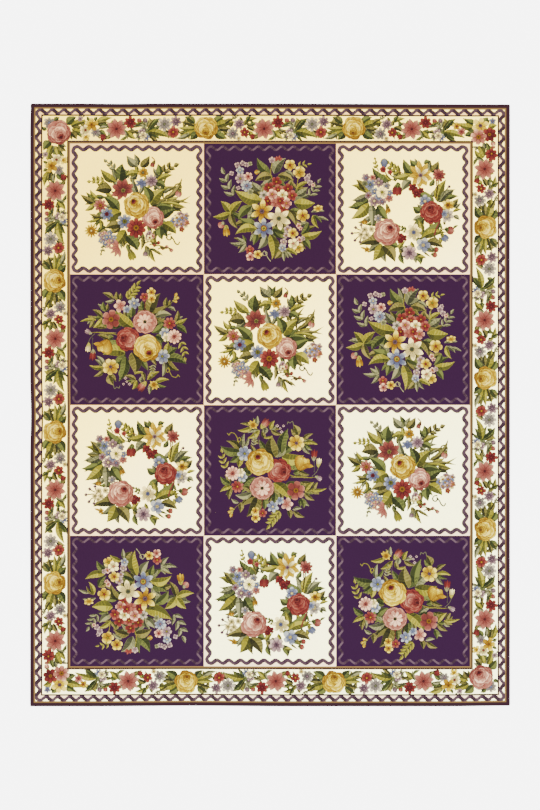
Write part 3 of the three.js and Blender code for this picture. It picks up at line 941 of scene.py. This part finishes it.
ground = rug.stitches == CREAM[0]
# A few straight lines of stitches on the cream ground are worked a shade darker.
row_of, column_of = np.indices(rug.stitches.shape)
darker_lines = [(column_of == column) & (row_of >= FIELD_ROWS[0]) & (row_of < FIELD_ROWS[1])
         for column in (191, 319, 834)]
darker_lines.append((row_of == 1330) & (column_of >= FIELD_COLUMNS[1]) & (column_of < FIELD_COLUMNS[2]))
for darker_line in darker_lines:
    rug.work(EVERYWHERE, ground & darker_line, CREAM, 0.45, 0.45)


# The worked face. Dyed wool in slanted tent stitches, matt and a little woolly. Each stitch
# takes its own colour from the chart, and no two stitches of one wool are quite alike.
STUDIO_LIGHT = 7.0


def linear(colour, light=1.0):
    """The scene's colour for an sRGB hex colour.

    With a light, it is for what looks that colour under it. The picture rolls strong light off
    softly and pales it, so a pale wool is dyed fuller, and a deep one close to black.
    """
    parts = [int(colour[i:i + 2], 16) / 255 for i in (1, 3, 5)]
    parts = [p / 12.92 if p <= 0.04045 else ((p + 0.055) / 1.055) ** 2.4 for p in parts]
    if light > 1:
        # How much fuller and deeper a wool has to be was set on a picture of the rug.
        pale = sum(parts) / 3
        parts = [p * (1 + 7 * pale ** 5) for p in parts]
        grey = sum(parts) / 3
        parts = [grey + (p - grey) * (0.9 + pale) for p in parts]
        parts = [min(0.95, max(0.0015, p / light)) for p in parts]
    return (*parts, 1)


def node(tree, kind, inputs=(), out=0, **settings):
    """Adds a node with its settings, sets or links its inputs, and gives one of its outputs."""
    new = tree.nodes.new("ShaderNode" + kind)
    for name, value in settings.items():
        setattr(new, name, value)
    for name, value in inputs.items() if isinstance(inputs, dict) else enumerate(inputs):
        if isinstance(value, bpy.types.NodeSocket):
            tree.links.new(value, new.inputs[name])
        else:
            new.inputs[name].default_value = value
    return new.outputs[out] if new.outputs else None


def blank(name):
    """A new material with nothing in it yet, and its tree."""
    material = bpy.data.materials.new(name)
    material.use_nodes = True
    material.node_tree.nodes.clear()
    return material, material.node_tree


# How the wools are tinted between the upper left corner, at 0, and the lower right one,
# at 1: warmer and yellower towards the upper left. The palest ones take the most of it.
CORNER_TINT = ((0.19, (0.76, 0.54, 0.10)), (1.0, (1.0, 0.99, 0.84)), (0.40, (0.97, 0.76, 0.24)),
        (0.48, (1.0, 0.82, 0.42)), (0.68, (1.0, 0.96, 0.72)))


def wool_material():
    """Wool in tent stitch, coloured from the chart."""
    material, tree = blank("wool tent stitch")
    chart = node(tree, "Attribute", attribute_name="Chart").node
    rows = node(tree, "SeparateColor", (chart.outputs["Color"],)).node
    cell = node(tree, "UVMap", uv_map="Cell")
    place = node(tree, "SeparateXYZ", (cell,)).node
    column = node(tree, "Math", (place.outputs[0], 3.999), operation="MINIMUM")
    column = node(tree, "Math", (column,), operation="FLOOR")
    row = node(tree, "Math", (place.outputs[1], 3.999), operation="MINIMUM")
    row = node(tree, "Math", (row,), operation="FLOOR")

    # The row's channel, then the six bits of the column in it.
    channel = 0.0
    for i, value in enumerate((*rows.outputs[:3], chart.outputs["Alpha"])):
        chosen = node(tree, "Math", (row, float(i), 0.2), operation="COMPARE")
        channel = node(tree, "Math", (value, chosen, channel), operation="MULTIPLY_ADD")
    divisor = 1.0
    for i, more in enumerate((63.0, 4032.0, 258048.0)):
        past = node(tree, "Math", (column, i + 0.5), operation="GREATER_THAN")
        divisor = node(tree, "Math", (past, more, divisor), operation="MULTIPLY_ADD")
    shifted = node(tree, "Math", (channel, divisor), operation="DIVIDE")
    shifted = node(tree, "Math", (shifted,), operation="FLOOR")
    number = node(tree, "Math", (shifted, 64.0), operation="MODULO")

    halves = []
    for start in (0, 32):
        share = node(tree, "Math", (number, 1 / 32, (0.5 - start) / 32),
                     operation="MULTIPLY_ADD")
        halves.append(node(tree, "ValToRGB", (share,)))
        ramp = halves[-1].node.color_ramp
        ramp.interpolation = "CONSTANT"
        ramp.elements.remove(ramp.elements[1])
        for i, colour in enumerate(wools[start:start + 32]):
            stop = ramp.elements[0] if i == 0 else ramp.elements.new(i / 32)
            stop.position = i / 32
            stop.color = linear(colour, STUDIO_LIGHT)
    upper = node(tree, "Math", (number, 31.5), operation="GREATER_THAN")
    dyed = node(tree, "Mix", {0: upper, 6: halves[0], 7: halves[1]}, 2, data_type="RGBA")

    # Each stitch is a little lighter or darker, and so is each slow patch of a dye lot.
    count = node(tree, "UVMap", uv_map="Count")
    stitch = node(tree, "VectorMath", (count,), operation="FLOOR")
    chance = node(tree, "TexWhiteNoise", {"Vector": stitch}, noise_dimensions="2D")
    lots = node(tree, "TexNoise", {"Vector": count, "Scale": 0.012, "Detail": 3.0})
    light = node(tree, "Math", (chance, 0.14, 0.93), operation="MULTIPLY_ADD")
    patch = node(tree, "Math", (lots, 0.08, 0.96), operation="MULTIPLY_ADD")
    light = node(tree, "Math", (light, patch), operation="MULTIPLY")
    shade = node(tree, "CombineXYZ", (light, light, light))
    varied = node(tree, "Mix", {0: 1.0, 6: dyed, 7: shade}, 2, data_type="RGBA",
                  blend_type="MULTIPLY")

    # The wools turn warmer and yellower towards the upper left, the palest ones most.
    spread = node(tree, "SeparateXYZ", (count,)).node
    tint_share = node(tree, "Math", (spread.outputs[0], 0.35 / COLUMNS), operation="MULTIPLY")
    tint_share = node(tree, "Math", (spread.outputs[1], 0.65 / ROWS, tint_share),
                operation="MULTIPLY_ADD")
    tint = node(tree, "ValToRGB", (tint_share,))
    stops = tint.node.color_ramp.elements
    for i, (position, colour) in enumerate(CORNER_TINT):
        stop = stops[i] if i < 2 else stops.new(position)
        stop.position = position
        stop.color = (*colour, 1)
    blue = node(tree, "SeparateColor", (varied,), 2)
    yellowing = node(tree, "Math", (blue, 2.0, 0.22), operation="MULTIPLY_ADD",
                     use_clamp=True)
    coloured = node(tree, "Mix", {0: yellowing, 6: varied, 7: tint}, 2,
                    data_type="RGBA", blend_type="MULTIPLY")

    # A stitch is a fat strand from its lower left corner to its upper right one, 0.7 mm high,
    # with the twist of its plies across it.
    within = node(tree, "VectorMath", (count,), operation="FRACTION")
    corner = node(tree, "SeparateXYZ", (within,)).node
    across = node(tree, "Math", corner.outputs[:2], operation="ADD")
    across = node(tree, "Math", (across, 1.0), operation="SUBTRACT")
    square = node(tree, "Math", (across, across), operation="MULTIPLY")
    strand = node(tree, "Math", (square, -1.5, 1.0), operation="MULTIPLY_ADD",
                  use_clamp=True)
    strand = node(tree, "Math", (strand,), operation="SQRT")
    twist = node(tree, "TexNoise", {"Vector": count, "Scale": 3.5, "Detail": 2.0})
    height = node(tree, "Math", (twist, 0.35, strand), operation="MULTIPLY_ADD")
    bump = node(tree, "Bump", {"Strength": 0.55, "Distance": 0.0007, "Height": height})
    shader = node(tree, "BsdfPrincipled", {
        "Base Color": coloured, "Roughness": 0.92, "IOR": 1.5, "Specular IOR Level": 0.04,
        "Normal": bump})
    node(tree, "OutputMaterial", (shader,))
    return material


wool_cloth = wool_material()


# The underside. A plain cotton cloth sewn over the back of the canvas, unbleached, with its
# threads just showing.
def backing_material():
    """Unbleached cotton cloth."""
    material, tree = blank("unbleached cotton backing")
    spot = node(tree, "TexCoord", out="Object")
    # About one spot of the pattern for each thread of 1.1 mm.
    threads = node(tree, "TexNoise", {"Vector": spot, "Scale": 900.0})
    shades = node(tree, "ValToRGB", (threads,))
    shades.node.color_ramp.elements[0].color = linear("#B9AB90", STUDIO_LIGHT)
    shades.node.color_ramp.elements[1].color = linear("#D8CCB2", STUDIO_LIGHT)
    bump = node(tree, "Bump", {"Strength": 0.4, "Distance": 0.0003, "Height": threads})
    shader = node(tree, "BsdfPrincipled", {
        "Base Color": shades, "Roughness": 0.9, "IOR": 1.47, "Normal": bump})
    node(tree, "OutputMaterial", (shader,))
    return material


backing = backing_material()


# The finished rug as it lies. Wool, canvas and backing together are 5 mm thick, the edge is
# turned under so the rim is round, and blocking has left each side drawn in a little in places.
# It is one cloth, but is made of twelve blocks, so that each can keep its own fine picture.
# A face of a block holds the sixteen stitches of a cell, four by four.
THICKNESS = 5
RIM_ROUND = 2.2
RIM_BENDS = (22.5, 45, 67.5, 90)
CORNER_SOFT = 2
WIDTH = STITCH * COLUMNS
LENGTH = STITCH * ROWS
CELL = 4
BLOCK_COLUMNS = (0, *FIELD_COLUMNS[1:3], COLUMNS)
BLOCK_ROWS = (0, *FIELD_ROWS[1:4], ROWS)

# The cloth has slow waves of 0.7 mm, except for a flat strip along its edge.
RIPPLE = 0.7
FLAT_RIM = 60

# Where a side is drawn in: which side, how far along it, how far that reaches both ways and
# how deep it is, all in mm. It fades away to nothing over 420 mm into the rug.
PULL_FADE = 420
EDGE_PULLS = (
    ("bottom", 1000, 640, 3.4), ("bottom", WIDTH, 400, 4), ("top", 560, 240, 1.8),
    ("top", WIDTH, 1650, 5.2), ("left", 1815, 270, 5), ("left", LENGTH, 180, 3.6),
    ("right", 2600, 500, 0.5))


def pulled(side, along, away):
    """How far a place lies drawn in from its straight line, from the distance to that side."""
    inward = np.zeros_like(along)
    for where, at, reach, depth in EDGE_PULLS:
        if where == side:
            share = np.clip(np.abs(along - at) / reach, 0, 1)
            inward += depth * 0.5 * (1 + np.cos(np.pi * share))
    return inward * 0.5 * (1 + np.cos(np.pi * np.clip(away / PULL_FADE, 0, 1)))


def lies(column, row):
    """Where a corner of a stitch lies on the upper face, in mm."""
    along_x, along_y = column * STITCH, (ROWS - row) * STITCH
    x = along_x - WIDTH / 2 + pulled("left", along_y, along_x)
    x -= pulled("right", along_y, WIDTH - along_x)
    y = along_y - LENGTH / 2 + pulled("bottom", along_x, along_y)
    y -= pulled("top", along_x, LENGTH - along_y)
    edge = np.minimum(np.minimum(along_x, WIDTH - along_x), np.minimum(along_y, LENGTH - along_y))
    flat = np.clip(1 - edge / FLAT_RIM, 0, 1)
    ripple = np.sin(x / 61 + 1.3 * np.sin(y / 173)) * np.sin(y / 74 + 0.8 * np.sin(x / 210))
    z = THICKNESS - RIPPLE / 2 * (1 - flat) * (1 + ripple)
    return np.stack((x, y, z), axis=-1)


def block(name, left, right, top, low):
    """One block of the rug between two columns and two rows of stitches."""
    across, down = (right - left) // CELL, (low - top) // CELL
    column, row = np.meshgrid(np.arange(left, right + 1, CELL), np.arange(top, low + 1, CELL))
    column, row = column.ravel().astype(float), row.ravel().astype(float)
    spots = lies(column, row)
    out_x = (column == COLUMNS) * 1.0 - (column == 0)
    out_y = (row == 0) * 1.0 - (row == ROWS)
    corner = (out_x != 0) & (out_y != 0)

    # Round the block's sides, rings of points go from the upper face down to the underside.
    # On an outer side of the rug they follow its round rim, and elsewhere they go straight down.
    number = np.arange(len(column)).reshape(down + 1, across + 1)
    loop = np.concatenate((number[0, :-1], number[:-1, -1], number[-1, :0:-1], number[:0:-1, 0]))
    count = len(loop)
    outward = np.stack((out_x, out_y), axis=-1)
    outward[corner] *= math.sqrt(0.5)
    spots[corner, :2] -= np.sign(outward[corner]) * CORNER_SOFT
    edge = spots[loop].copy()
    spots[:, :2] -= outward * RIM_ROUND
    bends = np.radians(RIM_BENDS)
    profile = [(1 - math.sin(a), THICKNESS - RIM_ROUND * (1 - math.cos(a)), RIM_ROUND * a)
               for a in bends]
    gap = THICKNESS - 2 * RIM_ROUND + RIM_ROUND * math.pi / 2
    profile += [(1 - math.sin(a), RIM_ROUND * (1 - math.cos(a)), RIM_ROUND * (math.pi / 2 - a) + gap)
                for a in (*bends[::-1], 0)]
    rings = [spots]
    for inward, height, _ in profile:
        ring = edge.copy()
        ring[:, :2] -= outward[loop] * RIM_ROUND * inward
        ring[:, 2] = height * edge[:, 2] / THICKNESS
        rings.append(ring)
    points = np.concatenate(rings)

    quads = np.stack((number[1:, :-1], number[1:, 1:], number[:-1, 1:], number[:-1, :-1]), axis=-1)
    quads = quads.reshape(-1, 4)
    walls, arcs = [], []
    ring_numbers = [loop] + [len(spots) + i * count + np.arange(count) for i in range(len(profile))]
    lengths = [0] + [arc for _, _, arc in profile]
    for upper, lower in zip(range(len(profile)), range(1, len(profile) + 1)):
        a, b = ring_numbers[upper], ring_numbers[lower]
        walls.append(np.stack((a, np.roll(a, -1), np.roll(b, -1), b), axis=-1))
        arcs.append(np.tile(np.repeat((lengths[upper], lengths[lower]), 2), (count, 1)))
    walls, arcs = np.concatenate(walls), np.concatenate(arcs)
    faces = np.concatenate((quads, walls))
    corners = np.concatenate((faces.ravel(), ring_numbers[-1]))
    starts = np.append(np.arange(len(faces)) * 4, len(faces) * 4)

    mesh = bpy.data.meshes.new(name)
    mesh.vertices.add(len(points))
    mesh.vertices.foreach_set("co", (points / 1000).ravel())
    mesh.loops.add(len(corners))
    mesh.loops.foreach_set("vertex_index", corners.astype(np.int32))
    mesh.polygons.add(len(starts))
    mesh.polygons.foreach_set("loop_start", starts.astype(np.int32))

    # Columns and rows at every corner of every face, and the cell that each face belongs to.
    cells_x, cells_y = np.meshgrid(np.arange(across), np.arange(down))
    beside_x = np.concatenate((np.arange(across), np.full(down, across - 1),
                               np.arange(across)[::-1], np.zeros(down, int)))
    beside_y = np.concatenate((np.zeros(across, int), np.arange(down),
                               np.full(across, down - 1), np.arange(down)[::-1]))
    cell_x = np.concatenate((cells_x.ravel(), np.tile(beside_x, len(profile)), (0,)))
    cell_y = np.concatenate((cells_y.ravel(), np.tile(beside_y, len(profile)), (0,)))
    full_loop = np.concatenate([np.arange(len(spots))] + [loop] * len(profile))
    base = full_loop[corners]
    counted = np.stack((column[base], row[base]), axis=-1)
    size = np.diff(np.append(starts, len(corners)))
    own = np.repeat(np.stack((cell_x, cell_y), axis=-1) * CELL + (left, top), size, axis=0)
    inside = np.clip(counted - own, 0, CELL)
    arc = np.concatenate((np.zeros(quads.size), arcs.ravel(), np.zeros(count)))[:, None]
    counted = counted + arc / STITCH * np.sign(outward[base]) * (1, -1)

    # The places of the whole block on one unit square. The face fills the upper part of the
    # square, and the sides and the underside have a strip each below it.
    share = np.stack(((column[base] - left) / (right - left), (low - row[base]) / (low - top)),
                     axis=-1)
    sheet = share * (1, 0.93) + (0, 0.07)
    first, last = quads.size, quads.size + walls.size
    steps = np.arange(count)[:, None] + (0, 1, 1, 0)
    steps = np.tile(steps / count, (len(profile), 1)).ravel()
    sheet[first:last] = np.stack((steps, 0.055 - 0.025 * arc[first:last, 0] / lengths[-1]), axis=-1)
    sheet[last:] = share[last:] * (1, 0.02)
    for title, values in (("Count", counted), ("Cell", inside), ("OFBake", sheet)):
        layer = mesh.uv_layers.new(name=title)
        layer.data.foreach_set("uv", values.astype(np.float32).ravel())

    # The wools of a cell's stitches, packed row by row into the four channels of one colour,
    # because a colour for each stitch would need sixteen times as many faces.
    picture = rug.stitches[top:low, left:right].reshape(down, CELL, across, CELL).astype(np.int64)
    packed = (picture * 64 ** np.arange(CELL)).sum(axis=-1).transpose(0, 2, 1)
    chart = mesh.attributes.new("Chart", "FLOAT_COLOR", "FACE")
    chart.data.foreach_set("color", packed[cell_y, cell_x].astype(np.float32).ravel())

    mesh.materials.append(wool_cloth)
    mesh.materials.append(backing)
    under = np.arange(len(starts)) == len(faces)
    mesh.polygons.foreach_set("use_smooth", ~under)
    mesh.polygons.foreach_set("material_index", under.astype(np.int32))
    mesh.update(calc_edges=True)
    mesh.validate()
    # The round rim shades smoothly, and only the square sides between two blocks stay sharp.
    mesh.set_sharp_from_angle(angle=math.radians(50))
    piece = bpy.data.objects.new(name, mesh)
    bpy.context.collection.objects.link(piece)
    return piece


for j in range(4):
    for i in range(3):
        left, right = BLOCK_COLUMNS[i], BLOCK_COLUMNS[i + 1]
        top, low = BLOCK_ROWS[j], BLOCK_ROWS[j + 1]
        piece = block(f"rug_block_{j + 1}_{i + 1}", left, right, top, low)
        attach(piece, "root")
        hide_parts("rug")


# The floor and the light. A seamless pale floor, lit from all round, and by a broad soft light
# from the lower left that draws out the stitches.
FLOOR_HALF = 20
FLOOR_GAP = 0.0004
floor_mesh = bpy.data.meshes.new("studio floor")
floor_mesh.from_pydata([(x * FLOOR_HALF, y * FLOOR_HALF, 0) for x, y in
                        ((-1, -1), (1, -1), (1, 1), (-1, 1))], [], [(0, 1, 2, 3)])
floor = bpy.data.objects.new("studio floor", floor_mesh)
bpy.context.collection.objects.link(floor)
floor.location.z = -FLOOR_GAP
paper, tree = blank("white paper floor")
shader = node(tree, "BsdfPrincipled", {"Base Color": linear("#FAFAFA"), "Roughness": 0.95})
node(tree, "OutputMaterial", (shader,))
floor_mesh.materials.append(paper)

# The soft light gives 0.6 of all light. It comes in at a slant, and 0.92 of it counts.
SOFT_SHARE = 0.6
SLANT = 0.92
soft = bpy.data.lights.new("soft light", "SUN")
soft.energy = SOFT_SHARE * STUDIO_LIGHT * math.pi / SLANT
soft.angle = math.radians(40)
soft_light = bpy.data.objects.new("soft light", soft)
soft_light.rotation_euler = (math.radians(18), math.radians(-16), 0)
bpy.context.collection.objects.link(soft_light)
world = bpy.data.worlds.new("studio")
world.use_nodes = True
world.node_tree.nodes["Background"].inputs[0].default_value = linear("#FFFFFF")
world.node_tree.nodes["Background"].inputs[1].default_value = (1 - SOFT_SHARE) * STUDIO_LIGHT
bpy.context.scene.world = world


# The camera looks straight down from 25 m with a long lens, so that the rug shows no
# perspective, and 1 pixel is 6.24 mm of rug.
CAMERA_HEIGHT = 25
PICTURE_LENGTH = 0.0062426 * 810
SENSOR = 36
lens = bpy.data.cameras.new("camera")
lens.sensor_width = SENSOR
lens.lens = SENSOR * (CAMERA_HEIGHT - THICKNESS / 1000) / PICTURE_LENGTH
lens.clip_end = 200
camera = bpy.data.objects.new("camera", lens)
camera.location = (0, 0, CAMERA_HEIGHT)
bpy.context.collection.objects.link(camera)
bpy.context.scene.camera = camera
